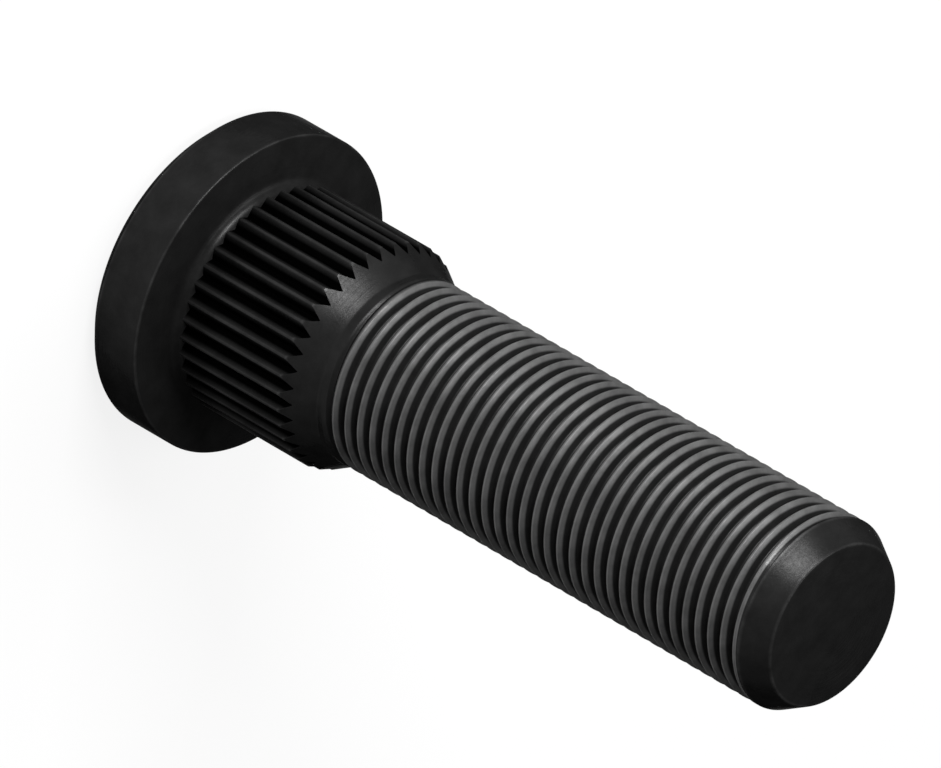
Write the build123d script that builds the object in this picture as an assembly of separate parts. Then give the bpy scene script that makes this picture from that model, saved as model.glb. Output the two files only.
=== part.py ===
from build123d import *
from math import asin, cos, degrees, radians, sin, tan
import os

# Press-in wheel stud, in millimetres. It stands on its head: the origin is the centre of
# the head's back face, and +Z runs along the stud to its tip.

# Head: a plain disc that bears on the back of the hub flange.
head_diameter = 20.0
head_thickness = 4.0
head_back_chamfer = 0.7

# Neck: the round metal under the head. The knurl's grooves go down to it.
neck_diameter = 13.4
neck_fillet_radius = 0.7

# Knurl: straight ridges that bite into the hub's hole.
knurl_diameter = 14.3
knurl_length = 8.0
ridge_count = 39
ridge_top_width = 0.125

# Shoulder and thread: a cone leads from the knurl down to the thread's crests.
shoulder_angle = 30.0
thread_diameter = 12.0
length_under_head = 46.0

# Tip: a plain cone that guides the nut on.
tip_diameter = 10.1
tip_angle = 30.0

# How far past the ridges' tops the groove cutter reaches, as a share of a groove's flank.
cutter_overrun = 0.5

# Heights along the stud, each from the one before it.
knurl_start = head_thickness + neck_fillet_radius
knurl_end = knurl_start + knurl_length
shoulder_end = knurl_end + (knurl_diameter - thread_diameter) / 2 / tan(radians(shoulder_angle))
tip_end = head_thickness + length_under_head
tip_start = tip_end - (thread_diameter - tip_diameter) / 2 / tan(radians(tip_angle))


def turned_blank():
    """The stud as turned, before its grooves: half of its outline, swept once round Z."""
    fillet_outer_radius = neck_diameter / 2 + neck_fillet_radius
    back_radius = head_diameter / 2 - head_back_chamfer
    with BuildPart() as blank:
        with BuildSketch(Plane.XZ):
            with BuildLine():
                Polyline(
                    (0, 0),
                    (back_radius, 0),
                    (head_diameter / 2, head_back_chamfer),
                    (head_diameter / 2, head_thickness),
                    (fillet_outer_radius, head_thickness),
                )
                TangentArc(
                    (fillet_outer_radius, head_thickness),
                    (neck_diameter / 2, knurl_start),
                    tangent=(-1, 0),
                )
                Polyline(
                    (neck_diameter / 2, knurl_start),
                    (knurl_diameter / 2, knurl_start),
                    (knurl_diameter / 2, knurl_end),
                    (thread_diameter / 2, shoulder_end),
                    (thread_diameter / 2, tip_start),
                    (tip_diameter / 2, tip_end),
                    (0, tip_end),
                    (0, 0),
                )
            make_face()
        revolve(axis=Axis.Z)
    return blank.part


def groove_outline():
    """Corners of one V groove, its bottom on the neck and its flanks through two ridges' edges."""
    half_ridge = degrees(asin(ridge_top_width / knurl_diameter))
    half_groove = radians(180 / ridge_count - half_ridge)
    bottom = Vector(neck_diameter / 2, 0)
    corner = Vector(knurl_diameter / 2 * cos(half_groove), knurl_diameter / 2 * sin(half_groove))
    mouth = bottom + (corner - bottom) * (1 + cutter_overrun)
    return bottom, mouth, Vector(mouth.X, -mouth.Y)


def knurl_grooves():
    """All the grooves as cutters. They start at the neck and run out through the shoulder."""
    with BuildPart() as cutters:
        with BuildSketch(Plane.XY.offset(knurl_start)):
            with PolarLocations(0, ridge_count):
                Polygon(*groove_outline(), align=None)
        extrude(amount=shoulder_end - knurl_start)
    return cutters.part


def wheel_stud():
    """The finished stud, one forged and rolled piece."""
    stud = turned_blank() - knurl_grooves()
    stud.label = "wheel_stud"
    return stud


os.makedirs("parts", exist_ok=True)
export_step(wheel_stud(), "parts/wheel_stud.step")
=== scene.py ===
import math

import bpy
import numpy as np
from mathutils import Matrix, Vector


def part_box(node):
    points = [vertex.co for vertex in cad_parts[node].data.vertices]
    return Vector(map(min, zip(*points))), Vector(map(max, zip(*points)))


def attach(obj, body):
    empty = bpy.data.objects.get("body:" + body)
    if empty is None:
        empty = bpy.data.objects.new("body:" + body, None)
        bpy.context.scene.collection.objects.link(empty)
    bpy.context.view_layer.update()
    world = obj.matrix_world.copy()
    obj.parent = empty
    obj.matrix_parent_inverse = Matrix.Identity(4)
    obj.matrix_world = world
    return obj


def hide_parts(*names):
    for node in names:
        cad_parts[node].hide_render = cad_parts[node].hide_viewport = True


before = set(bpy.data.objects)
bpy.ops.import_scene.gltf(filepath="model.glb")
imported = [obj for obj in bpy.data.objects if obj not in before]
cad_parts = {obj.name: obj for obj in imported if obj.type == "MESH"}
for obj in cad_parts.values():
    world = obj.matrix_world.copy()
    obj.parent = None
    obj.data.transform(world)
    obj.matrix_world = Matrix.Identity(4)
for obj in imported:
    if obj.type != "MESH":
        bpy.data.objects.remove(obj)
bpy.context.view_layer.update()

# The stud stands on its head, its axis on Z. Sizes here are in millimetres, as in the CAD.
MM = 0.001
NODE = "wheel_stud"
SLOT = "black_steel"
box_low, box_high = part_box(NODE)

# Head and neck.
HEAD_R = min(box_high.x, -box_low.x, box_high.y, -box_low.y) / MM
HEAD_TOP = 4.0
BACK_CHAMFER = 0.7
NECK_R = 6.7
FILLET_R = 0.7
BACK_EDGE_ROUND = 0.12
SIDE_EDGE_ROUND = 0.12
SEAT_EDGE_ROUND = 0.07

# Knurl. The ridges' ends over the neck are broken by RIDGE_END_BREAK, but by no more than a share
# of a ridge's height, and the break bulges out a little on its way.
KNURL_R = 7.15
KNURL_START = HEAD_TOP + FILLET_R
KNURL_LENGTH = 8.0
KNURL_END = KNURL_START + KNURL_LENGTH
RIDGES = 39
RIDGE_TOP = 0.125
RIDGE_EDGE_ROUND = 0.03
GROOVE_ROUND = 0.06
RIDGE_END_BREAK = 0.05
RIDGE_END_SHARE = 0.35
RIDGE_END_BULGE = 0.3

# Shoulder, thread and tip. Both cones stand at CONE_ANGLE to the axis.
CONE_ANGLE = 30
CONE_SLOPE = math.tan(math.radians(CONE_ANGLE))
THREAD_R = 6.0
SHOULDER_END = KNURL_END + (KNURL_R - THREAD_R) / CONE_SLOPE
SHOULDER_ROUND = 0.2
TIP_END = box_high.z / MM
TIP_R = 5.05
TIP_START = TIP_END - (THREAD_R - TIP_R) / CONE_SLOPE
TIP_EDGE_ROUND = 0.12
CONE_EDGE_ROUND = 0.12

# The thread's section is a metric one of 60 degrees: a narrow flat crest, straight flanks that end
# at FLANK_END along the axis and in depth, and a round root.
PITCH = 1.0
CREST_HALF = PITCH / 16
CREST_ROUND = 0.05 * PITCH
FLANK_END = (0.375 * PITCH, 0.5413 * PITCH)
ROOT_ROUND = 0.1443 * PITCH
ROOT_HALF_TURN = 60
THREAD_DEPTH = 0.6134 * PITCH

# Where the thread's crests lie along the axis, and how it begins and ends.
CREST_PHASE = 0.12
PLAIN_SHANK = 0.5
THREAD_FOOT = SHOULDER_END + PLAIN_SHANK
FOOT_RUN_OUT = 0.75 * PITCH
TIP_RUN_OUT = 0.3 * PITCH
THREAD_TOP = TIP_START - CONE_EDGE_ROUND * math.tan(math.radians(CONE_ANGLE / 2))

# Mesh density. A rounded corner is cut into pieces of at most ROUND_STEP degrees, and edges that
# turn by more than SHARP_ANGLE are shaded sharp. The thread's first row lies FIRST_ROW_GAP above
# the shoulder's round, and its other rows keep ROW_GAP from the first and the last.
ROUND_STEP = 20.5
SHARP_ANGLE = 25.0
FILLET_STEPS = 8
FLANK_STEPS = 4
RIDGE_RINGS = (0.33, 0.67, 1.0)
ROOT_STEPS = 6
THREAD_COLUMNS = 120
FIRST_ROW_GAP = 0.05
ROW_GAP = 0.03
SAME_PHASE = 1e-6


def rounded(before, corner, after, radius):
    """Points of an arc of the given radius in place of an outline's corner."""
    before, corner, after = (np.array(p, float) for p in (before, corner, after))
    go_in = (corner - before) / np.linalg.norm(corner - before)
    go_out = (after - corner) / np.linalg.norm(after - corner)
    turn = math.acos(float(np.clip(go_in @ go_out, -1, 1)))
    side = math.copysign(1.0, go_in[0] * go_out[1] - go_in[1] * go_out[0])
    start = corner - go_in * radius * math.tan(turn / 2)
    centre = start + side * radius * np.array((-go_in[1], go_in[0]))
    steps = max(1, math.ceil(math.degrees(turn) / ROUND_STEP))
    points = []
    for i in range(steps + 1):
        angle = side * turn * i / steps
        spin = np.array(((math.cos(angle), -math.sin(angle)), (math.sin(angle), math.cos(angle))))
        points.append(tuple(centre + spin @ (start - centre)))
    return points


class Shell:
    """Vertices and faces of one closed surface, with how deep each vertex lies in a groove."""

    def __init__(self):
        self.points = []
        self.depths = []
        self.faces = []

    def add(self, xyz, depth=0.0):
        self.points.append(xyz)
        self.depths.append(depth)
        return len(self.points) - 1

    def ring(self, angles, radii, heights, depths=None):
        """A ring of vertices at the given angles. Radii and heights may be one number for all."""
        radii = np.broadcast_to(radii, angles.shape)
        heights = np.broadcast_to(heights, angles.shape)
        depths = np.zeros(angles.shape) if depths is None else depths
        rows = zip(angles, radii, heights, depths)
        return [self.add((r * math.cos(a), r * math.sin(a), z), d) for a, r, z, d in rows]

    def band(self, lower, upper):
        """Quads between two rings with the same columns."""
        for i in range(len(lower)):
            j = (i + 1) % len(lower)
            self.faces.append((lower[i], lower[j], upper[j], upper[i]))

    def fan(self, ring, centre, upward):
        """Triangles from a ring to one vertex in its middle."""
        for i in range(len(ring)):
            j = (i + 1) % len(ring)
            self.faces.append((ring[i], ring[j], centre) if upward else (ring[j], ring[i], centre))

    def join_rings(self, lower, lower_angles, upper, upper_angles):
        """Triangles between two rings whose columns differ, both starting near angle 0."""
        a, b = 0, 0
        total_a, total_b = len(lower), len(upper)
        while a < total_a or b < total_b:
            next_a = lower_angles[a + 1] if a + 1 < total_a else lower_angles[0] + math.tau
            next_b = upper_angles[b + 1] if b + 1 < total_b else upper_angles[0] + math.tau
            here_a, here_b = lower[a % total_a], upper[b % total_b]
            if b >= total_b or (a < total_a and next_a <= next_b):
                self.faces.append((here_a, lower[(a + 1) % total_a], here_b))
                a += 1
            else:
                self.faces.append((here_a, upper[(b + 1) % total_b], here_b))
                b += 1


def knurl_section():
    """One turn of the knurl's outline, as the angles and the radii of its columns."""
    half_ridge = math.asin(RIDGE_TOP / 2 / KNURL_R)
    half_groove = math.pi / RIDGES - half_ridge
    bottom = np.array((NECK_R, 0.0))
    right = np.array((KNURL_R * math.cos(half_groove), KNURL_R * math.sin(half_groove)))
    left = right * (1, -1)
    top_left = KNURL_R * np.array((math.cos(math.pi / RIDGES), -math.sin(math.pi / RIDGES)))
    top_right = top_left * (1, -1)
    left_edge = rounded(top_left, left, bottom, RIDGE_EDGE_ROUND)
    valley = rounded(left, bottom, right, GROOVE_ROUND)
    right_edge = rounded(bottom, right, top_right, RIDGE_EDGE_ROUND)

    def between(a, b):
        a, b = np.array(a), np.array(b)
        return [tuple(a + (b - a) * i / FLANK_STEPS) for i in range(1, FLANK_STEPS)]

    groove = [tuple(top_left), *left_edge, *between(left_edge[-1], valley[0]), *valley]
    groove += [*between(valley[-1], right_edge[0]), *right_edge]
    groove = np.array(groove)
    angles = np.arctan2(groove[:, 1], groove[:, 0])
    radii = np.hypot(groove[:, 0], groove[:, 1])
    turns = np.arange(RIDGES) * math.tau / RIDGES
    return (turns[:, None] + angles[None, :]).ravel(), np.tile(radii, RIDGES)


def head_outline():
    """The outline from the head's back, round its edges, to the fillet's end, as radii and heights."""
    back_corner = (HEAD_R - BACK_CHAMFER, 0.0)
    side_corner = (HEAD_R, BACK_CHAMFER)
    seat_corner = (HEAD_R, HEAD_TOP)
    seat_inner = (NECK_R + FILLET_R, HEAD_TOP)
    outline = rounded((0.0, 0.0), back_corner, side_corner, BACK_EDGE_ROUND)
    outline += rounded(back_corner, side_corner, seat_corner, SIDE_EDGE_ROUND)
    outline += rounded(side_corner, seat_corner, seat_inner, SEAT_EDGE_ROUND)
    for i in range(FILLET_STEPS + 1):
        turn = math.radians(90 * i / FILLET_STEPS)
        r = NECK_R + FILLET_R - FILLET_R * math.sin(turn)
        outline.append((r, KNURL_START - FILLET_R * math.cos(turn)))
    return outline


def build_head_and_knurl(shell):
    """Rings from the middle of the head's back up to the shoulder's end.

    Returns the last ring, its angles and its height."""
    angles, ridge_radii = knurl_section()
    outline = head_outline()
    centre = shell.add((0.0, 0.0, 0.0))
    previous = shell.ring(angles, *outline[0])
    shell.fan(previous, centre, upward=False)

    def next_ring(radii, heights, depths=None):
        nonlocal previous
        new = shell.ring(angles, radii, heights, depths)
        shell.band(previous, new)
        previous = new

    for r, z in outline[1:]:
        next_ring(r, z)
    ease = np.minimum(RIDGE_END_BREAK, RIDGE_END_SHARE * (ridge_radii - NECK_R))
    depth = KNURL_R - ridge_radii
    next_ring(ridge_radii - ease, KNURL_START, depth)
    next_ring(ridge_radii - RIDGE_END_BULGE * ease, KNURL_START + RIDGE_END_BULGE * ease, depth)
    next_ring(ridge_radii, KNURL_START + ease, depth)
    groove_end = KNURL_END + (KNURL_R - ridge_radii) / CONE_SLOPE
    for share in RIDGE_RINGS:
        next_ring(ridge_radii, KNURL_START + ease + (groove_end - KNURL_START - ease) * share, depth)
    cone_top = (KNURL_R, KNURL_END)
    cone_foot = (THREAD_R, SHOULDER_END)
    foot = rounded(cone_top, cone_foot, (THREAD_R, TIP_START), SHOULDER_ROUND)
    next_ring((ridge_radii + foot[0][0]) / 2, (groove_end + foot[0][1]) / 2)
    for r, z in foot:
        next_ring(r, z)
    return previous, angles, foot[-1][1]


def thread_profile():
    """One pitch of the thread, from crest to crest, as shares of the pitch and depths."""
    edge = rounded((0.0, 0.0), (CREST_HALF, 0.0), FLANK_END, CREST_ROUND)
    centre_depth = THREAD_DEPTH - ROOT_ROUND
    root = []
    for i in range(ROOT_STEPS + 1):
        turn = math.radians(-ROOT_HALF_TURN + 2 * ROOT_HALF_TURN * i / ROOT_STEPS)
        along = 0.5 * PITCH + ROOT_ROUND * math.sin(turn)
        root.append((along, centre_depth + ROOT_ROUND * math.cos(turn)))
    far_edge = [(PITCH - x, d) for x, d in reversed(edge)]
    return np.array(edge + root + far_edge) / (PITCH, 1.0)


def smooth(x):
    x = min(1.0, max(0.0, x))
    return x * x * (3 - 2 * x)


def depth_share(z):
    """The thread's depth as a share. It eases to nothing by the shoulder and under the tip's cone."""
    return smooth((z - THREAD_FOOT) / FOOT_RUN_OUT) * smooth((THREAD_TOP - z) / TIP_RUN_OUT)


def thread_column(angle, profile, low, high):
    """One column from the shoulder to the tip's cone, as rows of (phase, z, full depth).

    Phase counts turns along the helix, so that neighbouring columns share it."""
    share = angle / math.tau

    def end_row(z):
        phase = (z - CREST_PHASE) / PITCH - share
        return phase, z, np.interp(phase % 1.0, profile[:, 0], profile[:, 1])

    rows = [end_row(low)]
    # The turns counted here reach past both ends, and the test on z keeps the rows between them.
    first_turn = math.floor((low - CREST_PHASE) / PITCH) - 2
    for turn in range(first_turn, math.ceil(high / PITCH) + 1):
        for part, full_depth in profile:
            z = CREST_PHASE + PITCH * (turn + part + share)
            if low + ROW_GAP < z < high - ROW_GAP:
                rows.append((turn + part, z, full_depth))
    rows.append(end_row(high))
    return rows


def join_columns(shell, left, right, shift):
    """Faces between two columns of (phase, vertex), in order of phase."""
    a = b = 0
    while a + 1 < len(left) or b + 1 < len(right):
        next_a = left[a + 1][0] if a + 1 < len(left) else math.inf
        next_b = right[b + 1][0] - shift if b + 1 < len(right) else math.inf
        here_a, here_b = left[a][1], right[b][1]
        if abs(next_a - next_b) < SAME_PHASE:
            shell.faces.append((here_a, here_b, right[b + 1][1], left[a + 1][1]))
            a, b = a + 1, b + 1
        elif next_a < next_b:
            shell.faces.append((here_a, here_b, left[a + 1][1]))
            a += 1
        else:
            shell.faces.append((here_a, here_b, right[b + 1][1]))
            b += 1


def build_thread(shell, lower_ring, lower_angles, lower_height):
    """The threaded shank and the tip. Columns are joined along the helix, so crests stay crisp."""
    angles = np.arange(THREAD_COLUMNS) * math.tau / THREAD_COLUMNS
    shank_foot = (THREAD_R, lower_height)
    cone_foot = (THREAD_R, TIP_START)
    cone_top = (TIP_R, TIP_END)
    outline = rounded(shank_foot, cone_foot, cone_top, CONE_EDGE_ROUND)
    outline += rounded(cone_foot, cone_top, (0.0, TIP_END), TIP_EDGE_ROUND)
    profile = thread_profile()
    first_row = lower_height + FIRST_ROW_GAP
    columns = []
    for angle in angles:
        column = []
        for phase, z, full_depth in thread_column(angle, profile, first_row, THREAD_TOP):
            r = THREAD_R - full_depth * depth_share(z)
            vertex = shell.add((r * math.cos(angle), r * math.sin(angle), z), full_depth)
            column.append((phase, vertex))
        columns.append(column)
    for i, left in enumerate(columns):
        last = i + 1 == THREAD_COLUMNS
        join_columns(shell, left, columns[0 if last else i + 1], 1.0 if last else 0.0)
    shell.join_rings(lower_ring, lower_angles, [c[0][1] for c in columns], angles)
    previous = [c[-1][1] for c in columns]
    for r, z in outline[1:]:
        new = shell.ring(angles, r, z)
        shell.band(previous, new)
        previous = new
    shell.fan(previous, shell.add((0.0, 0.0, TIP_END)), upward=True)


def make_stud():
    """The whole stud as one closed mesh, with the depth of its grooves kept for the material."""
    shell = Shell()
    ring, angles, height = build_head_and_knurl(shell)
    build_thread(shell, ring, angles, height)
    mesh = bpy.data.meshes.new("stud_body")
    points = [tuple(c * MM for c in p) for p in shell.points]
    mesh.from_pydata(points, [], shell.faces)
    depth = mesh.attributes.new("groove_depth", "FLOAT", "POINT")
    depth.data.foreach_set("value", shell.depths)
    mesh.shade_smooth()
    mesh.set_sharp_from_angle(angle=math.radians(SHARP_ANGLE))
    stud = bpy.data.objects.new("stud_body", mesh)
    bpy.context.scene.collection.objects.link(stud)
    return stud


class Nodes:
    """A short way to add nodes to a node tree and link them."""

    def __init__(self, tree):
        self.tree = tree

    def __call__(self, kind, inputs=None, **settings):
        node = self.tree.nodes.new("ShaderNode" + kind)
        for name, value in settings.items():
            setattr(node, name, value)
        for name, value in (inputs or {}).items():
            if isinstance(value, bpy.types.NodeSocket):
                self.tree.links.new(value, node.inputs[name])
            else:
                node.inputs[name].default_value = value
        return node


def new_material(name):
    material = bpy.data.materials.new(name)
    material.use_nodes = True
    material.node_tree.nodes.clear()
    return material, Nodes(material.node_tree)


# Black oxide, and the paler steel that shows where it is rubbed.
WHITE = (1, 1, 1, 1)
OXIDE = (0.019, 0.019, 0.019, 1)
BURNISHED = (0.13, 0.13, 0.13, 1)
METALLIC = 0.6
SPECULAR_TINT = (0.15, 0.15, 0.15, 1)

# Noise over the stud, at scales in 1/mm: cloudy patches, the fine grain, and marks of turning.
MOTTLE = {"Scale": 0.7, "Detail": 4.0, "Roughness": 0.6}
GRAIN = {"Scale": 7.0, "Detail": 3.0, "Roughness": 0.6}
TURNING = {"Scale": 5.0, "Detail": 2.0}
GRAIN_BUMP = 0.28
TURNING_BUMP = 0.5
BUMP_HEIGHT = 0.02 * MM

# Each of these holds the noise's low and high level, and what they are turned into.
WEAR_PATCHES = (0.35, 0.65, 0.3, 1.0)
POLISH_PATCHES = (0.3, 0.7, 0.85, 1.0)
SHADE_PATCHES = (0.25, 0.75, 0.78, 1.22)
GRAIN_ROUGHNESS = (0.3, 0.7, 0.28, 0.4)
POLISH_ROUGHNESS = 0.06

# The thread is rubbed from its crests down to these depths, between these heights.
BRIGHT_TO_DEPTH = 0.17
DARK_FROM_DEPTH = 0.31
DARK_BELOW = 15.45
BRIGHT_FROM = 15.75
BRIGHT_UNTIL = TIP_START - 0.1
DARK_ABOVE = TIP_START - 0.02

# The knurl's ridges are rubbed a little on their tops, and its grooves get painted shade by their
# depth.
KNURL_FADE = 0.1
RIDGE_SHEEN = 0.1
RIDGE_SHEEN_DEPTH = 0.06
GROOVE_PAINTED_SHADE = 0.04
PAINTED_SHADE_START_DEPTH = 0.02
PAINTED_SHADE_END_DEPTH = 0.26
GROOVE_MARGIN = 0.03

# The turned edges that rub bright, each as its radius and height, and how far the rub reaches.
EDGE_SHEEN = 0.16
WORN_TO = 0.05
UNWORN_FROM = 0.16
EDGES = (
    (HEAD_R - BACK_CHAMFER, 0.0),
    (HEAD_R, BACK_CHAMFER),
    (HEAD_R, HEAD_TOP),
    (KNURL_R, KNURL_END),
    (THREAD_R, TIP_START),
    (TIP_R, TIP_END),
)


def black_steel():
    """Black oxide on steel: fine grain, faint turning marks, and a thread polished on its crests."""
    material, n = new_material(SLOT)
    where = n("TexCoord").outputs["Object"]
    mm = n("VectorMath", {0: where, 1: (1 / MM,) * 3}, operation="MULTIPLY").outputs[0]
    split = n("SeparateXYZ", {0: mm})
    height = split.outputs["Z"]
    flat = n("CombineXYZ", {"X": split.outputs["X"], "Y": split.outputs["Y"]})
    radius = n("VectorMath", {0: flat.outputs[0]}, operation="LENGTH").outputs["Value"]

    def ramp(value, low, high, to_low=0.0, to_high=1.0, curve="LINEAR"):
        sockets = {"Value": value, "From Min": low, "From Max": high}
        sockets |= {"To Min": to_low, "To Max": to_high}
        return n("MapRange", sockets, interpolation_type=curve).outputs[0]

    def times(a, b):
        return n("Math", {0: a, 1: b}, operation="MULTIPLY").outputs[0]

    mottle = n("TexNoise", {"Vector": mm, **MOTTLE}).outputs[0]
    grain = n("TexNoise", {"Vector": mm, **GRAIN}).outputs[0]
    turned_at = n("CombineXYZ", {"X": radius, "Y": height}).outputs[0]
    turning = n("TexNoise", {"Vector": turned_at, **TURNING}).outputs[0]

    # Polish: the outer part of the thread, and a little on the tops of the knurl's ridges.
    depth = n("Attribute", attribute_name="groove_depth").outputs["Fac"]
    outer = ramp(depth, DARK_FROM_DEPTH, BRIGHT_TO_DEPTH, curve="SMOOTHSTEP")
    threaded = times(ramp(height, DARK_BELOW, BRIGHT_FROM), ramp(height, DARK_ABOVE, BRIGHT_UNTIL))
    past_neck = ramp(height, KNURL_START - KNURL_FADE, KNURL_START)
    ridged = times(past_neck, ramp(height, KNURL_END + KNURL_FADE, KNURL_END))
    ridge_top = times(ramp(depth, RIDGE_SHEEN_DEPTH, 0.0), RIDGE_SHEEN)
    on_ridges = times(ridged, ridge_top)
    polish = n("Math", {0: outer, 1: threaded, 2: on_ridges}, operation="MULTIPLY_ADD").outputs[0]

    # Wear: patches along the turned edges, added to the polish.
    nearest = 1.0
    for edge_radius, edge_height in EDGES:
        place = {0: turned_at, 1: (edge_radius, edge_height, 0.0)}
        away = n("VectorMath", place, operation="DISTANCE").outputs["Value"]
        nearest = n("Math", {0: away, 1: nearest}, operation="MINIMUM").outputs[0]
    worn = times(ramp(nearest, UNWORN_FROM, WORN_TO), ramp(mottle, *WEAR_PATCHES))
    polish = n("Math", {0: worn, 1: EDGE_SHEEN, 2: polish}, operation="MULTIPLY_ADD").outputs[0]
    polish = times(polish, ramp(mottle, *POLISH_PATCHES))

    # Painted shade: the knurl's grooves are darkened by their depth, as far as they run out through
    # the shoulder's cone.
    blank_radius = ramp(height, KNURL_END, SHOULDER_END, KNURL_R, THREAD_R)
    under = n("Math", {0: blank_radius, 1: radius}, operation="SUBTRACT").outputs[0]
    knurled = times(past_neck, ramp(height, SHOULDER_END, SHOULDER_END - KNURL_FADE))
    cut = times(knurled, ramp(under, 0.0, GROOVE_MARGIN))
    painted_groove_shade = ramp(times(depth, cut), PAINTED_SHADE_START_DEPTH, PAINTED_SHADE_END_DEPTH, 1.0, GROOVE_PAINTED_SHADE)

    base = n("Mix", {0: polish, 6: OXIDE, 7: BURNISHED}, data_type="RGBA").outputs[2]
    # The oxide's cloudy tone, times the painted shade in the knurl's grooves.
    shade = times(ramp(mottle, *SHADE_PATCHES), painted_groove_shade)
    colour = n("VectorMath", {0: base, 1: shade}, operation="MULTIPLY").outputs[0]
    rough = ramp(grain, *GRAIN_ROUGHNESS)
    rough = n("Math", {0: polish, 1: POLISH_ROUGHNESS, 2: rough}, operation="MULTIPLY_ADD").outputs[0]

    bump = n("Bump", {"Height": grain, "Strength": GRAIN_BUMP, "Distance": BUMP_HEIGHT})
    marks = {"Height": turning, "Strength": TURNING_BUMP, "Distance": BUMP_HEIGHT}
    bump = n("Bump", {**marks, "Normal": bump.outputs[0]})

    shader = n("BsdfPrincipled", {"Base Color": colour, "Roughness": rough, "Normal": bump.outputs[0]})
    shader.inputs["Metallic"].default_value = METALLIC
    shader.inputs["Specular IOR Level"].default_value = 0.0
    shader.inputs["Specular Tint"].default_value = SPECULAR_TINT
    n("OutputMaterial", {"Surface": shader.outputs[0]})
    return material


FLOOR_SIZE = 6.0
FLOOR_COLOUR = (0.62, 0.62, 0.62, 1)
SEEN_GLOW_SHARE = 0.85
GLOSS_GLOW_SHARE = 0.2


def seen_directly(n):
    """How far a ray takes the floor for plain white: nearly all when seen, less in a reflection."""
    path = n("LightPath").outputs
    seen = n("Math", {0: path["Is Camera Ray"], 1: path["Is Transmission Ray"]}, operation="MAXIMUM")
    seen = n("Math", {0: seen.outputs[0], 1: SEEN_GLOW_SHARE}, operation="MULTIPLY")
    gloss = n("Math", {0: path["Is Glossy Ray"], 1: GLOSS_GLOW_SHARE}, operation="MULTIPLY")
    return n("Math", {0: seen.outputs[0], 1: gloss.outputs[0]}, operation="MAXIMUM").outputs[0]


def make_floor():
    """A plain floor under the head: pale grey to the lamps, and white where it is looked at.

    The part of it that doesn't glow there keeps the stud's shadow."""
    half = FLOOR_SIZE / 2
    corners = [(-half, -half, 0), (half, -half, 0), (half, half, 0), (-half, half, 0)]
    mesh = bpy.data.meshes.new("floor")
    mesh.from_pydata(corners, [], [(0, 1, 2, 3)])
    floor = bpy.data.objects.new("floor", mesh)
    bpy.context.scene.collection.objects.link(floor)
    material, n = new_material("white_floor")
    share = seen_directly(n)
    colour = n("Mix", {0: share, 6: FLOOR_COLOUR, 7: WHITE}, data_type="RGBA").outputs[2]
    paint = n("BsdfDiffuse", {"Color": colour})
    glow = n("Emission", {"Color": WHITE, "Strength": 1.0})
    mixed = n("MixShader", {0: share, 1: paint.outputs[0], 2: glow.outputs[0]})
    n("OutputMaterial", {"Surface": mixed.outputs[0]})
    mesh.materials.append(material)


# The photograph's view: from 35.26 degrees above the head's plane, rolled so that the axis runs
# 30 degrees below the horizontal. The scale is in the picture's pixels, and the two offsets are in
# millimetres along the axis and across it.
PICTURE_WIDTH = 941
VIEW_BEARING = math.radians(271.09)
VIEW_RISE = math.radians(35.264)
AXIS_TURN = math.radians(-30)
PIXELS_PER_MM = 17.55
AXIS_POINT_MM = 19.98
SIDE_SHIFT_MM = 1.58
LENS = 1150
SENSOR = 36
CLIP_START = 0.01


def view_basis():
    """Unit vectors of the upright view: to its right, up, and back towards the camera."""
    cb, sb = math.cos(VIEW_BEARING), math.sin(VIEW_BEARING)
    ce, se = math.cos(VIEW_RISE), math.sin(VIEW_RISE)
    return Vector((-sb, cb, 0)), Vector((-cb * se, -sb * se, ce)), Vector((cb * ce, sb * ce, se))


def make_camera():
    right, up, back = view_basis()
    turn = AXIS_TURN - math.pi / 2
    # The rolled picture's own right and up, made from those of the upright view.
    roll_right = right * math.cos(turn) + up * -math.sin(turn)
    roll_up = right * math.sin(turn) + up * math.cos(turn)
    data = bpy.data.cameras.new("camera")
    data.lens = LENS
    data.sensor_width = SENSOR
    distance = PICTURE_WIDTH / PIXELS_PER_MM * MM * LENS / SENSOR
    data.clip_start = CLIP_START
    data.clip_end = distance + FLOOR_SIZE
    camera = bpy.data.objects.new("camera", data)
    bpy.context.scene.collection.objects.link(camera)
    target = Vector((0, 0, AXIS_POINT_MM * MM)) - right * SIDE_SHIFT_MM * MM
    axes = Matrix((roll_right, roll_up, back)).transposed().to_4x4()
    camera.matrix_world = Matrix.Translation(target + back * distance) @ axes
    bpy.context.scene.camera = camera


# Light from all round. It is 1 from the horizon up to HORIZON_TOP and falls to SKY_LEVEL by
# SKY_FROM, both sines of the height. All of it is multiplied by BRIGHT_SIDE towards SKY_BEARING,
# in degrees to the left of the upright view, and by DIM_SIDE on the opposite side.
SKY_LEVEL = 0.5
HORIZON_TOP = 0.10
SKY_FROM = 0.45
SKY_BEARING = 60
DIM_SIDE = 0.2
BRIGHT_SIDE = 1.0


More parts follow.
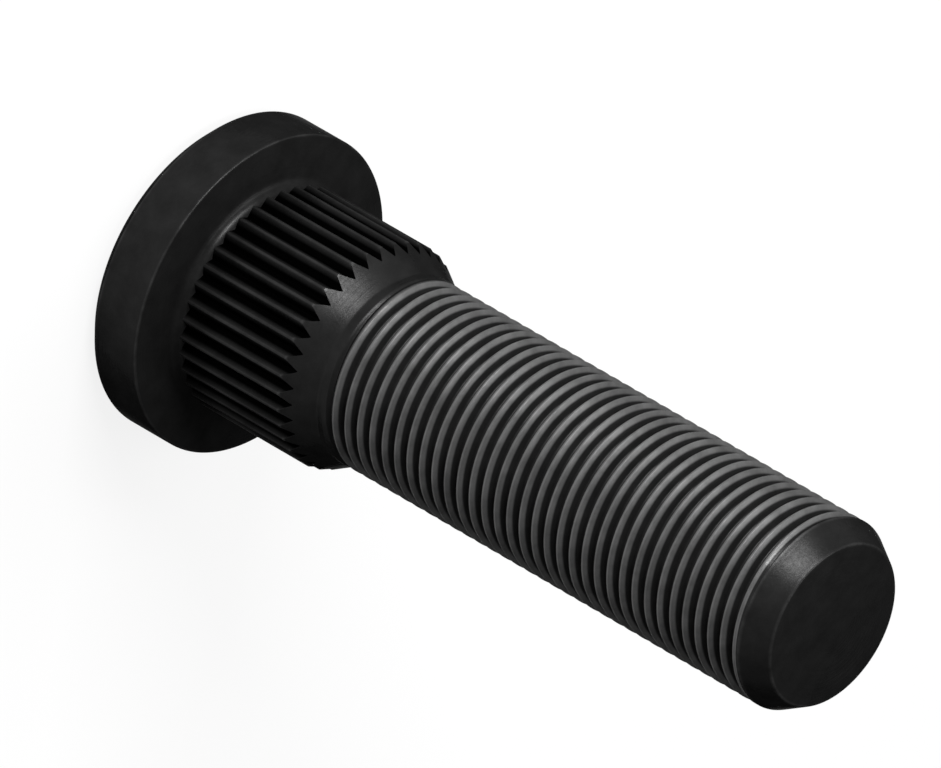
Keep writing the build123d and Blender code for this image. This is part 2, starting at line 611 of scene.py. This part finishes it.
def make_world():
    """Plain light from all round: white near the horizon, grey above, and dimmer on one side."""
    world = bpy.data.worlds.new("studio")
    world.use_nodes = True
    tree = world.node_tree
    tree.nodes.clear()
    n = Nodes(tree)
    towards = n("TexCoord").outputs["Generated"]
    rise = n("SeparateXYZ", {0: towards}).outputs["Z"]
    heights = {"Value": rise, "From Min": HORIZON_TOP, "From Max": SKY_FROM}
    heights |= {"To Min": 1.0, "To Max": SKY_LEVEL}
    level = n("MapRange", heights, interpolation_type="SMOOTHSTEP").outputs[0]
    lit_from = VIEW_BEARING - math.radians(SKY_BEARING)
    towards_light = {0: towards, 1: (math.cos(lit_from), math.sin(lit_from), 0.0)}
    facing = n("VectorMath", towards_light, operation="DOT_PRODUCT").outputs["Value"]
    sides = {"Value": facing, "From Min": -1.0, "To Min": DIM_SIDE, "To Max": BRIGHT_SIDE}
    side = n("MapRange", sides).outputs[0]
    strength = n("Math", {0: level, 1: side}, operation="MULTIPLY").outputs[0]
    sky = n("Background", {"Color": WHITE, "Strength": strength})
    n("OutputWorld", {"Surface": sky.outputs[0]})
    bpy.context.scene.world = world


def area_lamp(name, bearing, rise, distance, size, level):
    """A soft lamp aimed at the stud's middle. Its bearing is to the left of the upright view."""
    data = bpy.data.lights.new(name, "AREA")
    data.shape = "RECTANGLE"
    data.size, data.size_y = size
    data.energy = level * math.pi * size[0] * size[1]
    lamp = bpy.data.objects.new(name, data)
    bpy.context.scene.collection.objects.link(lamp)
    angle = VIEW_BEARING - math.radians(bearing)
    rise = math.radians(rise)
    away = Vector((math.cos(angle) * math.cos(rise), math.sin(angle) * math.cos(rise), math.sin(rise)))
    aim = Vector((0, 0, TIP_END / 2 * MM))
    lamp.location = aim + away * distance
    lamp.rotation_mode = "QUATERNION"
    lamp.rotation_quaternion = away.to_track_quat("Z", "Y")


stud = make_stud()
stud.data.materials.append(black_steel())
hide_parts(NODE)
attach(stud, "root")

make_floor()
make_world()
make_camera()
area_lamp("key", bearing=43, rise=24, distance=0.8, size=(0.42, 0.2), level=30.0)
area_lamp("top", bearing=100, rise=66, distance=0.6, size=(0.35, 0.35), level=4.2)

bpy.context.scene.view_settings.view_transform = "Standard"
